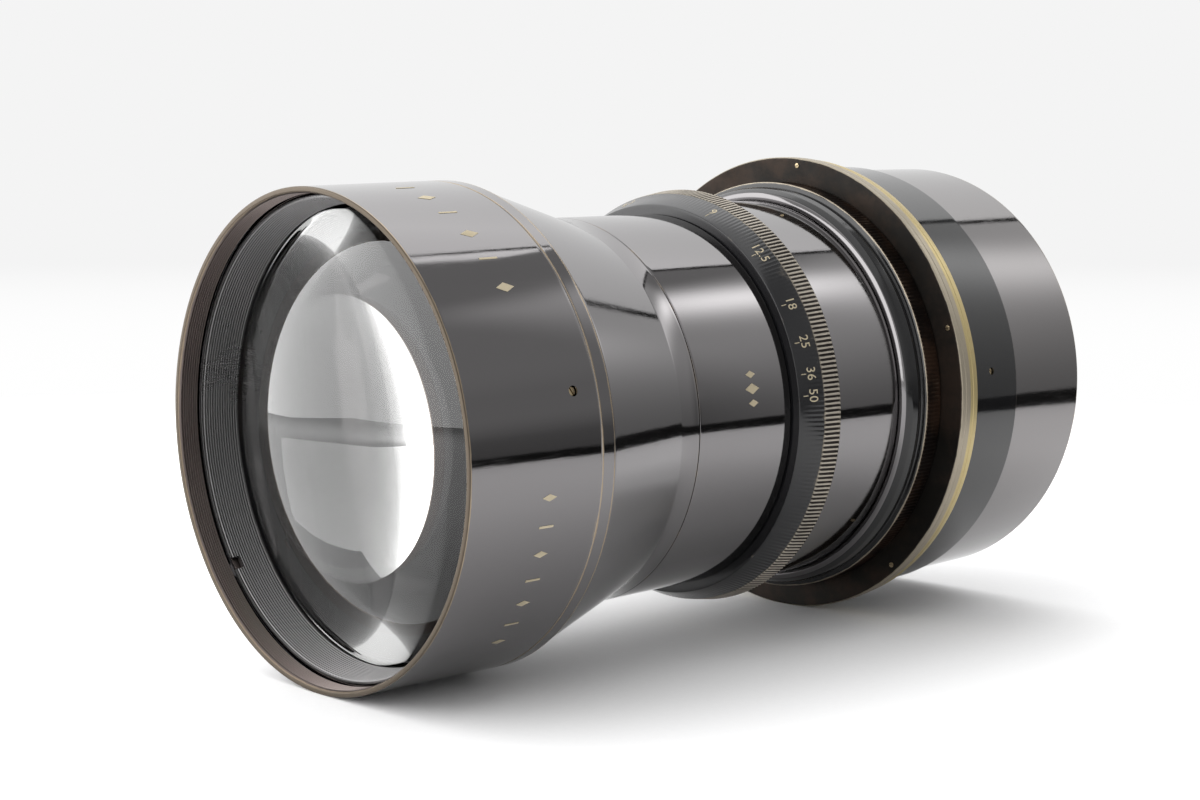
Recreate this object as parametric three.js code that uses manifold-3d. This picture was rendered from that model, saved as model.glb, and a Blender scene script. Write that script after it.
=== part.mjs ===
// A brass lens in barrel, black lacquered, with an iris diaphragm inside the tube.
//
// Millimetres. The lens axis is Y: the front rim is at -Y, +Z is up, and the origin is
// on the axis at the rear face of the mounting flange. Angles named "clock" are measured
// round the axis from +Z towards +X; angles named "turn" run from +X towards +Z.

import * as THREE from 'three';
import { mergeVertices } from 'three/addons/utils/BufferGeometryUtils.js';
import Module from 'manifold-3d';

const wasm = await Module();
wasm.setup();

const FACETS = 36;            // every turned piece, so that their facets line up
const HOLE_SIDES = 8;
const CURVE_STEPS = 5;        // rings of facets on a lens surface
const RUN_OUT = 1;            // how far a cutter passes the face it cuts
const WELD = 1e-4;

const HOOD = {
  front: -100, rear: -75.6, frontRadius: 35.0, rearRadius: 35.4, bore: 34.1,
  threadStart: -99.5, threadPitch: 0.75, threadDepth: 0.35, threadTurns: 4,
};
const FRONT_RETAINER = {
  front: -96.4, rear: -90.6, outer: 33.8, frontInner: 33.4, rearInner: 32.5,
  notchClock: -128, notchWidth: 2, notchDepth: 1.3,
};
const FRONT_CELL = {
  front: -90.3, rear: -79.8, outer: 33.8, bore: 33.3, lipFront: -83.4, lipInner: 31.6,
};
const FRONT_GLASS = {
  radius: 33.0, frontEdge: -90.0, frontCurve: 66, cementEdge: -87.8, cementCurve: 130,
  gap: 0.3, rearEdge: -84.6, rearCurve: 66,
};
const SET_SCREW = { radius: 0.5, holeRadius: 0.75, recess: 0.3, standOff: 0.3 };
const HOOD_SCREW = { y: -82, clock: 77.15 };
const MOUNT_SCREW = { y: 5.9, clock: 84.8 };
const CONE = {
  threadFront: -79.5, threadRadius: 33.8, shoulder: -75.3, frontRadius: 35.15,
  smallEnd: -57.0, smallRadius: 29.4, rear: -53.75, frontBore: 32.6, boreEnd: -73.6,
  rearBore: 27.9, rearBoreFront: -57.8,
};
const BARREL = {
  threadFront: -57.5, threadRadius: 27.6, front: -53.45, radius: 29.4, step: -34.5,
  rearRadius: 28.3, rear: 6.0, frontBore: 26.4, seatFront: -38.3, seatRear: -37.1,
  seatInner: 25.5, bore: 27.8,
};
const CONTROL_RING = {
  front: -34.2, bevelEnd: -30.5, rear: -27.4, bore: 28.6, frontRadius: 30.9,
  bevelRadius: 32.5, rearRadius: 33.1,
};
const COLLAR = {
  sleeveFront: -26.9, sleeveRadius: 31.0, beadInner: -10.9, beadFront: -11.15, noseRadius: 31.7,
  kneeFront: -10.5, kneeRadius: 32.6, stepFront: -9.3, stepRadius: 33.1,
  rear: -4.6, radius: 33.95, front: -7.9, bore: 28.6,
};
const FLANGE = { front: -4.3, rear: -2.2, radius: 38.0, bore: 28.6 };
const BACKING = {
  front: -1.9, rear: 0, radius: 37.8, bore: 28.6, recess: -0.3, recessRadius: 36.5,
};
const FLANGE_SCREW = {
  pitchRadius: 36.8, radius: 0.3, holeRadius: 0.6, front: -4.3, rear: -0.9,
  clocks: [6.8, 72.9, 139.8, 213.2, 286.6],
};
const MOUNT_RING = { front: 0, rear: 12.6, radius: 36.2, bore: 35.1 };
const REAR_TUBE = {
  front: 0, step: 12.9, rear: 30.5, spigotRadius: 34.8, radius: 35.6, bore: 33.9,
  wallRear: 2.3, wallBore: 28.6,
};
const LOCK_NUT = {
  front: 2.6, rear: 5.6, bore: 28.6, radius: 31.5, notchWidth: 2, notchDepth: 1.2,
};
const REAR_CELL = {
  front: -10, lipRear: -8.6, lipInner: 22.6, outer: 27.5, bore: 24.3, shoulder: 6.3,
  rear: 8.6, shoulderRadius: 28.3,
};
const REAR_GLASS = {
  radius: 24, frontEdge: -8.3, frontCurve: 90, cementEdge: -0.6, cementCurve: 120,
  gap: 0.3, rearEdge: 3.0, rearCurve: 300,
};
const REAR_RETAINER = {
  front: 3.5, rear: 5.6, outer: 24, inner: 22.6, notchWidth: 1.6, notchDepth: 0.9,
};
const BASE_PLATE = { front: -36.8, rear: -35.8, inner: 21.9, outer: 27.5, holeRadius: 0.65 };
const CAM_RING = { front: -31.1, rear: -28.7, inner: 21.9, outer: 27.6, slotHalfWidth: 0.6 };
const IRIS_RETAINER = { front: -28.4, rear: -26.8, inner: 24.6, outer: 27.5 };

// The blades lie in a spiral stack: each climbs from its pivot, at the base plate, to
// its drive pin, at the cam ring, and is steepest where it crosses its neighbours.
const BLADE = {
  count: 18, inner: 22.1, outer: 27.3, pivotRadius: 25.2, thickness: 0.1,
  start: -2.4, end: 137.6, steps: 20, level: -35.6, pinRadius: 0.35,
  pivotPinFront: -36.6, drivePinRear: -29.4, reach: 48.1, swing: 45,
  slopeLeast: 0.012, slopeMost: 0.075, slopeCentre: 68.14, slopeSpread: 14,
};
const RING_TRAVEL = 98;
const DRIVE_SCREW = {
  y: -29.9, turn: 241, radius: 0.5, tip: 25.9, head: 31.9, holeRadius: 0.8,
  boreEnd: 25.3, slotMargin: 3,
};

const FINISH = {
  blackLacquer: { color: 0x17161a, metalness: 0.35, roughness: 0.22 },
  mattBlack: { color: 0x232124, metalness: 0.3, roughness: 0.6 },
  wornBrass: { color: 0x9a8a68, metalness: 0.85, roughness: 0.42 },
  knurledBrass: { color: 0x6b6256, metalness: 0.7, roughness: 0.5 },
  brownedBrass: { color: 0x3a2d26, metalness: 0.5, roughness: 0.55 },
  bladeSteel: { color: 0x2a2a2c, metalness: 0.8, roughness: 0.45 },
  screwBrass: { color: 0xb59a63, metalness: 0.9, roughness: 0.35 },
  glass: { color: 0xdfe6e2, metalness: 0, roughness: 0.04, transparent: true, opacity: 0.35 },
};

const lens = new THREE.Group();
lens.name = 'barrel_lens';

function addPiece(name, finish, geometry) {
  const mesh = new THREE.Mesh(geometry, new THREE.MeshStandardMaterial(FINISH[finish]));
  mesh.name = name;
  lens.add(mesh);
}

const radians = THREE.MathUtils.degToRad;

// A turned piece from [radius, y] pairs: a closed outline, or one that starts and ends
// on the axis.
function turned(outline) {
  const points = outline.map(([radius, y]) => new THREE.Vector2(radius, y));
  if (THREE.ShapeUtils.area(points) < 0) {
    points.reverse();
  }
  if (points[0].x > 0) {
    points.push(points[0].clone());
  }
  return new THREE.LatheGeometry(points, FACETS);
}

function toSolid(geometry) {
  const bare = geometry.clone();
  bare.deleteAttribute('normal');
  bare.deleteAttribute('uv');
  const welded = mergeVertices(bare, WELD);
  return new wasm.Manifold(new wasm.Mesh({
    numProp: 3,
    vertProperties: new Float32Array(welded.attributes.position.array),
    triVerts: new Uint32Array(welded.index.array),
  }));
}

function toGeometry(solid) {
  const mesh = solid.getMesh();
  const geometry = new THREE.BufferGeometry();
  geometry.setAttribute('position', new THREE.BufferAttribute(mesh.vertProperties, 3));
  geometry.setIndex(new THREE.BufferAttribute(mesh.triVerts, 1));
  geometry.computeVertexNormals();
  return geometry;
}

function cut(blank, cutters) {
  const remainder = cutters.reduce(
    (solid, cutter) => solid.subtract(toSolid(cutter)), toSolid(blank));
  return toGeometry(remainder);
}

function join(pieces) {
  const [first, ...others] = pieces.map(toSolid);
  return toGeometry(others.reduce((solid, other) => solid.add(other), first));
}

// A round bar or hole parallel to the axis, placed by its distance out and clock angle.
function axialRod(radius, yFront, yRear, distance, clock) {
  const rod = new THREE.CylinderGeometry(radius, radius, yRear - yFront, HOLE_SIDES);
  rod.translate(0, (yFront + yRear) / 2, distance);
  rod.rotateY(radians(clock));
  return rod;
}

// A round bar or hole that points straight out from the axis.
function radialRod(radius, from, to, y, clock) {
  const rod = new THREE.CylinderGeometry(radius, radius, to - from, HOLE_SIDES);
  rod.translate(0, (from + to) / 2, 0);
  rod.rotateX(radians(90));
  rod.translate(0, y, 0);
  rod.rotateY(radians(clock));
  return rod;
}

// A box across a rim, standing at a clock angle: a spanner notch.
function rimBox(width, yFront, yRear, from, to, clock) {
  const box = new THREE.BoxGeometry(width, yRear - yFront, to - from);
  box.translate(0, (yFront + yRear) / 2, (from + to) / 2);
  box.rotateY(radians(clock));
  return box;
}

// A flat shape drawn with its x along X and its y along Z, given thickness along Y.
function plate(shape, yFront, yRear, curveSegments) {
  const geometry = new THREE.ExtrudeGeometry(shape, {
    depth: yRear - yFront, bevelEnabled: false, curveSegments,
  });
  geometry.rotateX(radians(90));
  geometry.translate(0, yRear, 0);
  return geometry;
}

// Points of a lens surface from the axis to the edge. Its edge is at edgeY, and its
// centre stands forward of the edge by the sagitta, or behind it with a negative curve.
function lensCurve(radius, edgeY, curve) {
  const sagAt = (r) => Math.sign(curve) * (Math.abs(curve) - Math.sqrt(curve * curve - r * r));
  const points = [];
  for (let step = 0; step <= CURVE_STEPS; step += 1) {
    const r = (radius * step) / CURVE_STEPS;
    points.push([r, edgeY - sagAt(radius) + sagAt(r)]);
  }
  return points;
}

function lensElement(radius, frontEdge, frontCurve, rearEdge, rearCurve) {
  const front = lensCurve(radius, frontEdge, frontCurve);
  const rear = lensCurve(radius, rearEdge, rearCurve);
  return turned([...front, ...rear.reverse()]);
}

// ---------------------------------------------------------------- front of the lens

function frontHood() {
  const outline = [[HOOD.bore, HOOD.front], [HOOD.frontRadius, HOOD.front],
    [HOOD.rearRadius, HOOD.rear], [HOOD.bore, HOOD.rear]];
  const root = HOOD.bore + HOOD.threadDepth;
  for (let turn = HOOD.threadTurns - 1; turn >= 0; turn -= 1) {
    const y = HOOD.threadStart + turn * HOOD.threadPitch;
    outline.push([HOOD.bore, y + HOOD.threadPitch * 0.9], [root, y + HOOD.threadPitch / 2]);
    outline.push([HOOD.bore, y + HOOD.threadPitch * 0.1]);
  }
  const hole = radialRod(SET_SCREW.holeRadius, HOOD.bore - RUN_OUT,
    HOOD.rearRadius + RUN_OUT, HOOD_SCREW.y, HOOD_SCREW.clock);
  return cut(turned(outline), [hole]);
}

function frontRetainingRing() {
  const ring = FRONT_RETAINER;
  const blank = turned([[ring.frontInner, ring.front], [ring.outer, ring.front],
    [ring.outer, ring.rear], [ring.rearInner, ring.rear]]);
  const notches = [0, 180].map((turn) => rimBox(ring.notchWidth, ring.front - RUN_OUT,
    ring.front + ring.notchDepth, ring.rearInner - RUN_OUT, ring.outer + RUN_OUT,
    ring.notchClock + turn));
  return cut(blank, notches);
}

function frontGlassCell() {
  const cell = FRONT_CELL;
  return turned([[cell.bore, cell.front], [cell.outer, cell.front], [cell.outer, cell.rear],
    [cell.lipInner, cell.rear], [cell.lipInner, cell.lipFront], [cell.bore, cell.lipFront]]);
}

function setScrew(innerRadius, outerRadius, place) {
  return radialRod(SET_SCREW.radius, innerRadius + SET_SCREW.standOff,
    outerRadius - SET_SCREW.recess, place.y, place.clock);
}

function coneBarrel() {
  return turned([[CONE.frontBore, CONE.threadFront], [CONE.threadRadius, CONE.threadFront],
    [CONE.threadRadius, CONE.shoulder], [CONE.frontRadius, CONE.shoulder],
    [CONE.smallRadius, CONE.smallEnd], [CONE.smallRadius, CONE.rear],
    [CONE.rearBore, CONE.rear], [CONE.rearBore, CONE.rearBoreFront],
    [CONE.frontBore, CONE.boreEnd]]);
}

// ---------------------------------------------------------------- barrel and iris

// The arc-shaped slot in the barrel wall that the drive screw sweeps along.
function barrelSlot() {
  const from = radians(DRIVE_SCREW.turn - DRIVE_SCREW.slotMargin);
  const to = radians(DRIVE_SCREW.turn + RING_TRAVEL + DRIVE_SCREW.slotMargin);
  const shape = new THREE.Shape();
  shape.absarc(0, 0, BARREL.radius + RUN_OUT, from, to, false);
  shape.absarc(0, 0, BARREL.seatInner, to, from, true);
  return plate(shape, DRIVE_SCREW.y - DRIVE_SCREW.holeRadius,
    DRIVE_SCREW.y + DRIVE_SCREW.holeRadius, HOLE_SIDES);
}

function mainBarrel() {
  const blank = turned([[BARREL.frontBore, BARREL.threadFront],
    [BARREL.threadRadius, BARREL.threadFront], [BARREL.threadRadius, BARREL.front],
    [BARREL.radius, BARREL.front], [BARREL.radius, BARREL.step],
    [BARREL.rearRadius, BARREL.step], [BARREL.rearRadius, BARREL.rear],
    [BARREL.bore, BARREL.rear], [BARREL.bore, BARREL.seatRear],
    [BARREL.seatInner, BARREL.seatRear], [BARREL.seatInner, BARREL.seatFront],
    [BARREL.frontBore, BARREL.seatFront]]);
  return cut(blank, [barrelSlot()]);
}

function driveScrewHole() {
  return radialRod(DRIVE_SCREW.holeRadius, DRIVE_SCREW.boreEnd,
    CONTROL_RING.rearRadius + RUN_OUT, DRIVE_SCREW.y, 90 - DRIVE_SCREW.turn);
}

function irisControlRing() {
  const ring = CONTROL_RING;
  const blank = turned([[ring.bore, ring.front], [ring.frontRadius, ring.front],
    [ring.bevelRadius, ring.bevelEnd], [ring.rearRadius, ring.rear], [ring.bore, ring.rear]]);
  return cut(blank, [driveScrewHole()]);
}

function irisDriveScrew() {
  return radialRod(DRIVE_SCREW.radius, DRIVE_SCREW.tip, DRIVE_SCREW.head,
    DRIVE_SCREW.y, 90 - DRIVE_SCREW.turn);
}

function irisBasePlate() {
  const blank = turned([[BASE_PLATE.inner, BASE_PLATE.front],
    [BASE_PLATE.outer, BASE_PLATE.front], [BASE_PLATE.outer, BASE_PLATE.rear],
    [BASE_PLATE.inner, BASE_PLATE.rear]]);
  const holes = bladeTurns().map((turn) => axialRod(BASE_PLATE.holeRadius,
    BASE_PLATE.front - RUN_OUT, BASE_PLATE.rear + RUN_OUT, BLADE.pivotRadius, 90 - turn));
  return cut(blank, holes);
}

function bladeTurns() {
  return Array.from({ length: BLADE.count }, (_, blade) => (blade * 360) / BLADE.count);
}

// Where a blade's drive pin stands when the blade has swung by an angle, in the plane
// of the iris, for the blade whose pivot is at turn 0.
function drivePin(swing) {
  const bearing = radians(180 - BLADE.swing / 2 + swing);
  return new THREE.Vector2(BLADE.pivotRadius + BLADE.reach * Math.cos(bearing),
    BLADE.reach * Math.sin(bearing));
}

// The pin's track in the cam ring, at one point of the ring's travel (0 to 1).
function camPoint(share) {
  return drivePin(BLADE.swing * share)
    .rotateAround(new THREE.Vector2(0, 0), -radians(RING_TRAVEL * share));
}

function slotLeg(start, end) {
  const bearing = Math.atan2(end.y - start.y, end.x - start.x);
  const quarter = Math.PI / 2;
  const shape = new THREE.Shape();
  shape.absarc(end.x, end.y, CAM_RING.slotHalfWidth, bearing - quarter, bearing + quarter);
  shape.absarc(start.x, start.y, CAM_RING.slotHalfWidth, bearing + quarter,
    bearing + 3 * quarter);
  return plate(shape, CAM_RING.front - RUN_OUT, CAM_RING.rear + RUN_OUT, HOLE_SIDES / 2);
}

function irisCamRing() {
  const blank = turned([[CAM_RING.inner, CAM_RING.front], [CAM_RING.outer, CAM_RING.front],
    [CAM_RING.outer, CAM_RING.rear], [CAM_RING.inner, CAM_RING.rear]]);
  const vee = toSolid(slotLeg(camPoint(0.5), camPoint(0)))
    .add(toSolid(slotLeg(camPoint(0.5), camPoint(1))));
  const slots = bladeTurns().map((turn) => vee.rotate([0, -turn, 0]));
  const slotted = slots.reduce((ring, slot) => ring.subtract(slot), toSolid(blank));
  return toGeometry(slotted.subtract(toSolid(driveScrewHole())));
}

function irisRetainingRing() {
  return turned([[IRIS_RETAINER.inner, IRIS_RETAINER.front],
    [IRIS_RETAINER.outer, IRIS_RETAINER.front], [IRIS_RETAINER.outer, IRIS_RETAINER.rear],
    [IRIS_RETAINER.inner, IRIS_RETAINER.rear]]);
}

// How far a blade has climbed at an angle along its arc.
function bladeClimb(angle) {
  const spread = BLADE.slopeSpread;
  const bend = (at) => spread * Math.atan((at - BLADE.slopeCentre) / spread);
  return BLADE.slopeLeast * (angle - BLADE.start)
    + (BLADE.slopeMost - BLADE.slopeLeast) * (bend(angle) - bend(BLADE.start));
}

function irisBlade(turn) {
  const leaf = new THREE.BoxGeometry(1, 1, 1, 1, 1, BLADE.steps);
  const position = leaf.attributes.position;
  for (let i = 0; i < position.count; i += 1) {
    const radius = THREE.MathUtils.lerp(BLADE.inner, BLADE.outer, position.getX(i) + 0.5);
    const angle = THREE.MathUtils.lerp(BLADE.start, BLADE.end, position.getZ(i) + 0.5);
    const y = BLADE.level + bladeClimb(angle) + position.getY(i) * BLADE.thickness;
    position.setXYZ(i, radius * Math.cos(radians(angle)), y, radius * Math.sin(radians(angle)));
  }
  const drive = drivePin(0);
  const driveAngle = THREE.MathUtils.radToDeg(drive.angle());
  const pivotPin = axialRod(BLADE.pinRadius, BLADE.pivotPinFront,
    BLADE.level + bladeClimb(0), BLADE.pivotRadius, 90);
  const drivePinRod = axialRod(BLADE.pinRadius, BLADE.level + bladeClimb(driveAngle),
    BLADE.drivePinRear, drive.length(), 90 - driveAngle);
  return join([leaf, pivotPin, drivePinRod]).rotateY(-radians(turn));
}

// ---------------------------------------------------------------- rear of the lens

// A plain sleeve runs forward from the bead and keeps the control ring in its place.
function rearCollar() {
  return turned([[COLLAR.bore, COLLAR.sleeveFront], [COLLAR.sleeveRadius, COLLAR.sleeveFront],
    [COLLAR.sleeveRadius, COLLAR.beadInner], [COLLAR.noseRadius, COLLAR.beadFront],
    [COLLAR.kneeRadius, COLLAR.kneeFront], [COLLAR.stepRadius, COLLAR.stepFront],
    [COLLAR.stepRadius, COLLAR.front], [COLLAR.radius, COLLAR.front],
    [COLLAR.radius, COLLAR.rear], [COLLAR.bore, COLLAR.rear]]);
}

function flangeHoles(yFront, yRear) {
  return FLANGE_SCREW.clocks.map((clock) => axialRod(FLANGE_SCREW.holeRadius,
    yFront, yRear, FLANGE_SCREW.pitchRadius, clock));
}

function mountingFlange() {
  const blank = turned([[FLANGE.bore, FLANGE.front], [FLANGE.radius, FLANGE.front],
    [FLANGE.radius, FLANGE.rear], [FLANGE.bore, FLANGE.rear]]);
  return cut(blank, flangeHoles(FLANGE.front - RUN_OUT, FLANGE.rear + RUN_OUT));
}

// Its rear face is recessed for the ring behind it, so that only the rim meets the board.
function flangeBackingRing() {
  const blank = turned([[BACKING.bore, BACKING.front], [BACKING.radius, BACKING.front],
    [BACKING.radius, BACKING.rear], [BACKING.recessRadius, BACKING.rear],
    [BACKING.recessRadius, BACKING.recess], [BACKING.bore, BACKING.recess]]);
  const depth = FLANGE_SCREW.rear + SET_SCREW.standOff;
  return cut(blank, flangeHoles(BACKING.front - RUN_OUT, depth));
}

function rearMountRing() {
  const blank = turned([[MOUNT_RING.bore, MOUNT_RING.front],
    [MOUNT_RING.radius, MOUNT_RING.front], [MOUNT_RING.radius, MOUNT_RING.rear],
    [MOUNT_RING.bore, MOUNT_RING.rear]]);
  const hole = radialRod(SET_SCREW.holeRadius, MOUNT_RING.bore - RUN_OUT,
    MOUNT_RING.radius + RUN_OUT, MOUNT_SCREW.y, MOUNT_SCREW.clock);
  return cut(blank, [hole]);
}

function rearTube() {
  return turned([[REAR_TUBE.wallBore, REAR_TUBE.front], [REAR_TUBE.spigotRadius, REAR_TUBE.front],
    [REAR_TUBE.spigotRadius, REAR_TUBE.step], [REAR_TUBE.radius, REAR_TUBE.step],
    [REAR_TUBE.radius, REAR_TUBE.rear], [REAR_TUBE.bore, REAR_TUBE.rear],
    [REAR_TUBE.bore, REAR_TUBE.wallRear], [REAR_TUBE.wallBore, REAR_TUBE.wallRear]]);
}

function notchedRing(outline, ring, inner, outer) {
  const notches = [0, 180].map((clock) => rimBox(ring.notchWidth, ring.rear - ring.notchDepth,
    ring.rear + RUN_OUT, inner - RUN_OUT, outer + RUN_OUT, clock));
  return cut(turned(outline), notches);
}

function rearLockNut() {
  return notchedRing([[LOCK_NUT.bore, LOCK_NUT.front], [LOCK_NUT.radius, LOCK_NUT.front],
    [LOCK_NUT.radius, LOCK_NUT.rear], [LOCK_NUT.bore, LOCK_NUT.rear]],
  LOCK_NUT, LOCK_NUT.bore, LOCK_NUT.radius);
}

function rearCell() {
  return turned([[REAR_CELL.lipInner, REAR_CELL.front], [REAR_CELL.outer, REAR_CELL.front],
    [REAR_CELL.outer, REAR_CELL.shoulder], [REAR_CELL.shoulderRadius, REAR_CELL.shoulder],
    [REAR_CELL.shoulderRadius, REAR_CELL.rear], [REAR_CELL.bore, REAR_CELL.rear],
    [REAR_CELL.bore, REAR_CELL.lipRear], [REAR_CELL.lipInner, REAR_CELL.lipRear]]);
}

function rearRetainingRing() {
  const ring = REAR_RETAINER;
  return notchedRing([[ring.inner, ring.front], [ring.outer, ring.front],
    [ring.outer, ring.rear], [ring.inner, ring.rear]], ring, ring.inner, ring.outer);
}

// ---------------------------------------------------------------- the assembly

addPiece('front_hood', 'blackLacquer', frontHood());
addPiece('front_retaining_ring', 'mattBlack', frontRetainingRing());
addPiece('front_glass_cell', 'mattBlack', frontGlassCell());
addPiece('front_crown_element', 'glass', lensElement(FRONT_GLASS.radius,
  FRONT_GLASS.frontEdge, FRONT_GLASS.frontCurve,
  FRONT_GLASS.cementEdge, -FRONT_GLASS.cementCurve));
addPiece('front_flint_element', 'glass', lensElement(FRONT_GLASS.radius,
  FRONT_GLASS.cementEdge + FRONT_GLASS.gap, -FRONT_GLASS.cementCurve,
  FRONT_GLASS.rearEdge, -FRONT_GLASS.rearCurve));
addPiece('front_set_screw', 'screwBrass',
  setScrew(FRONT_CELL.outer, HOOD.frontRadius, HOOD_SCREW));
addPiece('cone_barrel', 'blackLacquer', coneBarrel());
addPiece('main_barrel', 'blackLacquer', mainBarrel());
addPiece('iris_control_ring', 'knurledBrass', irisControlRing());
addPiece('iris_drive_screw', 'screwBrass', irisDriveScrew());
addPiece('iris_base_plate', 'mattBlack', irisBasePlate());
bladeTurns().forEach((turn, index) => {
  addPiece(`iris_blade_${String(index + 1).padStart(2, '0')}`, 'bladeSteel', irisBlade(turn));
});
addPiece('iris_cam_ring', 'mattBlack', irisCamRing());
addPiece('iris_retaining_ring', 'mattBlack', irisRetainingRing());
addPiece('rear_collar', 'brownedBrass', rearCollar());
addPiece('mounting_flange', 'wornBrass', mountingFlange());
addPiece('flange_backing_ring', 'wornBrass', flangeBackingRing());
FLANGE_SCREW.clocks.forEach((clock, index) => {
  addPiece(`flange_screw_${index + 1}`, 'screwBrass', axialRod(FLANGE_SCREW.radius,
    FLANGE_SCREW.front, FLANGE_SCREW.rear, FLANGE_SCREW.pitchRadius, clock));
});
addPiece('rear_mount_ring', 'blackLacquer', rearMountRing());
addPiece('mount_ring_set_screw', 'screwBrass',
  setScrew(REAR_TUBE.spigotRadius, MOUNT_RING.radius, MOUNT_SCREW));
addPiece('rear_tube', 'blackLacquer', rearTube());
addPiece('rear_lock_nut', 'mattBlack', rearLockNut());
addPiece('rear_cell', 'mattBlack', rearCell());
addPiece('rear_front_element', 'glass', lensElement(REAR_GLASS.radius,
  REAR_GLASS.frontEdge, -REAR_GLASS.frontCurve,
  REAR_GLASS.cementEdge, REAR_GLASS.cementCurve));
addPiece('rear_back_element', 'glass', lensElement(REAR_GLASS.radius,
  REAR_GLASS.cementEdge + REAR_GLASS.gap, REAR_GLASS.cementCurve,
  REAR_GLASS.rearEdge, -REAR_GLASS.rearCurve));
addPiece('rear_retaining_ring', 'mattBlack', rearRetainingRing());

export default lens;
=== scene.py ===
"""Looks for a black lacquered brass lens in barrel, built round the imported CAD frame.

Sizes in the tables below are millimetres; everything is made in metres. The lens axis is
Y with the front rim at -Y. An angle called "clock" runs round the axis from +Z to +X.
"""

import math

import bpy
from mathutils import Matrix, Vector


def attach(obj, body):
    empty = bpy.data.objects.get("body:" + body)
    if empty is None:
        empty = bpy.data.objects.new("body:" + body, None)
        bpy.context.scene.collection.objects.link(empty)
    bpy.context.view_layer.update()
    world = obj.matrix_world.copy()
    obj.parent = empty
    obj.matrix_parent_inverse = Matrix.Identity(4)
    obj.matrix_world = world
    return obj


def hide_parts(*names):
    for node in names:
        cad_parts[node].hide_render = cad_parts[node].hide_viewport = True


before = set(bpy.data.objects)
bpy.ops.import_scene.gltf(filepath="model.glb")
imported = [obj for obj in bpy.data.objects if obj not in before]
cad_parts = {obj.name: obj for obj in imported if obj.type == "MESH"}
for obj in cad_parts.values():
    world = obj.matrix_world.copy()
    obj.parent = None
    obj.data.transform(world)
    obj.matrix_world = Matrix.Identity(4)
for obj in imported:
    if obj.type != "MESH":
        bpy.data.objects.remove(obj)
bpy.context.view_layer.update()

MM = 0.001
SEGMENTS = 256         # steps round a turned piece
SHARP_ANGLE = 33       # degrees above which an edge of a piece stays sharp
ARC_STEPS = 4          # steps in a rounded corner
STRAIGHT = 174         # degrees above which a corner is left as it is
LONGEST_REACH = 0.3    # share of an edge that a rounded corner may take
GUARD_GAP = 0.35       # mm from a rounded corner to the point that ends its wear
GUARD_REACH = 0.45     # share of an edge within which such a point is made
WHOLLY_BARE = 1.0


# ------------------------------------------------------------------ turned shapes

def corner(radius, y, rounding=0.12, bare=0.0):
    """A corner of an outline; bare is how far its lacquer has worn off."""
    return (radius, y, rounding, bare)


def rounded(corners):
    """A closed outline with its corners rounded: a list of (radius, y, bare)."""
    points = []
    count = len(corners)
    for index, (radius, y, rounding, bare) in enumerate(corners):
        here = Vector((radius, y))
        before = corners[index - 1]
        after = corners[(index + 1) % count]
        to_before = Vector(before[:2]) - here
        to_after = Vector(after[:2]) - here
        length_before, length_after = to_before.length, to_after.length
        to_before.normalize()
        to_after.normalize()
        angle = to_before.angle(to_after)
        if rounding <= 0 or angle > math.radians(STRAIGHT):
            points.append((radius, y, bare))
            continue
        reach = min(rounding / math.tan(angle / 2), LONGEST_REACH * length_before,
                    LONGEST_REACH * length_after)
        guard = reach + GUARD_GAP
        if guard < GUARD_REACH * length_before:
            spot = here + to_before * guard
            points.append((spot.x, spot.y, float(min(bare, before[3]) >= WHOLLY_BARE)))
        start, end = here + to_before * reach, here + to_after * reach
        for step in range(ARC_STEPS + 1):
            share = step / ARC_STEPS
            spot = start.lerp(here, share).lerp(here.lerp(end, share), share)
            points.append((spot.x, spot.y, bare))
        if guard < GUARD_REACH * length_after:
            spot = here + to_after * guard
            points.append((spot.x, spot.y, float(min(bare, after[3]) >= WHOLLY_BARE)))
    return points


def new_piece(name, vertices, faces):
    """A mesh object in the scene."""
    mesh = bpy.data.meshes.new(name)
    mesh.from_pydata(vertices, [], faces)
    mesh.update()
    piece = bpy.data.objects.new(name, mesh)
    bpy.context.collection.objects.link(piece)
    return piece


def finish_mesh(mesh, sharp_above=SHARP_ANGLE):
    """Smooth shading, with the edges steeper than sharp_above degrees left sharp."""
    mesh.polygons.foreach_set("use_smooth", [True] * len(mesh.polygons))
    mesh.set_sharp_from_angle(angle=math.radians(sharp_above))
    mesh.update()


def turned(name, corners, segments=SEGMENTS, relief=None):
    """A ring turned from an outline. relief(step, radius, y) gives (rise, bare) or None."""
    outline = rounded(corners)
    area = sum(a[0] * b[1] - b[0] * a[1] for a, b in zip(outline, outline[1:] + outline[:1]))
    if area < 0:
        outline.reverse()
    count = len(outline)
    vertices, bares = [], []
    for step in range(segments):
        angle = 2 * math.pi * step / segments
        sine, cosine = math.sin(angle), math.cos(angle)
        for radius, y, bare in outline:
            if relief:
                change = relief(step, radius, y)
                if change:
                    radius, bare = radius + change[0], max(bare, change[1])
            vertices.append((radius * sine * MM, y * MM, radius * cosine * MM))
            bares.append(bare)
    faces = []
    for step in range(segments):
        here, there = step * count, ((step + 1) % segments) * count
        for index in range(count):
            nxt = (index + 1) % count
            faces.append((here + index, there + index, there + nxt, here + nxt))
    piece = new_piece(name, vertices, faces)
    piece.data.attributes.new("bare", "FLOAT", "POINT").data.foreach_set("value", bares)
    finish_mesh(piece.data)
    return piece


def ridges(y_from, y_to, crest, depth, count, bare=0.0):
    """Corners of a row of vee ridges along a bore, from y_from to y_to."""
    pitch = (y_to - y_from) / count
    corners = []
    for index in range(count):
        y = y_from + pitch * index
        corners.append(corner(crest, y + 0.12 * pitch, 0.03, bare))
        corners.append(corner(crest, y + 0.34 * pitch, 0.03, bare))
        corners.append(corner(crest + depth, y + 0.62 * pitch, 0.03))
        corners.append(corner(crest + depth, y + 0.86 * pitch, 0.03))
    return corners


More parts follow.
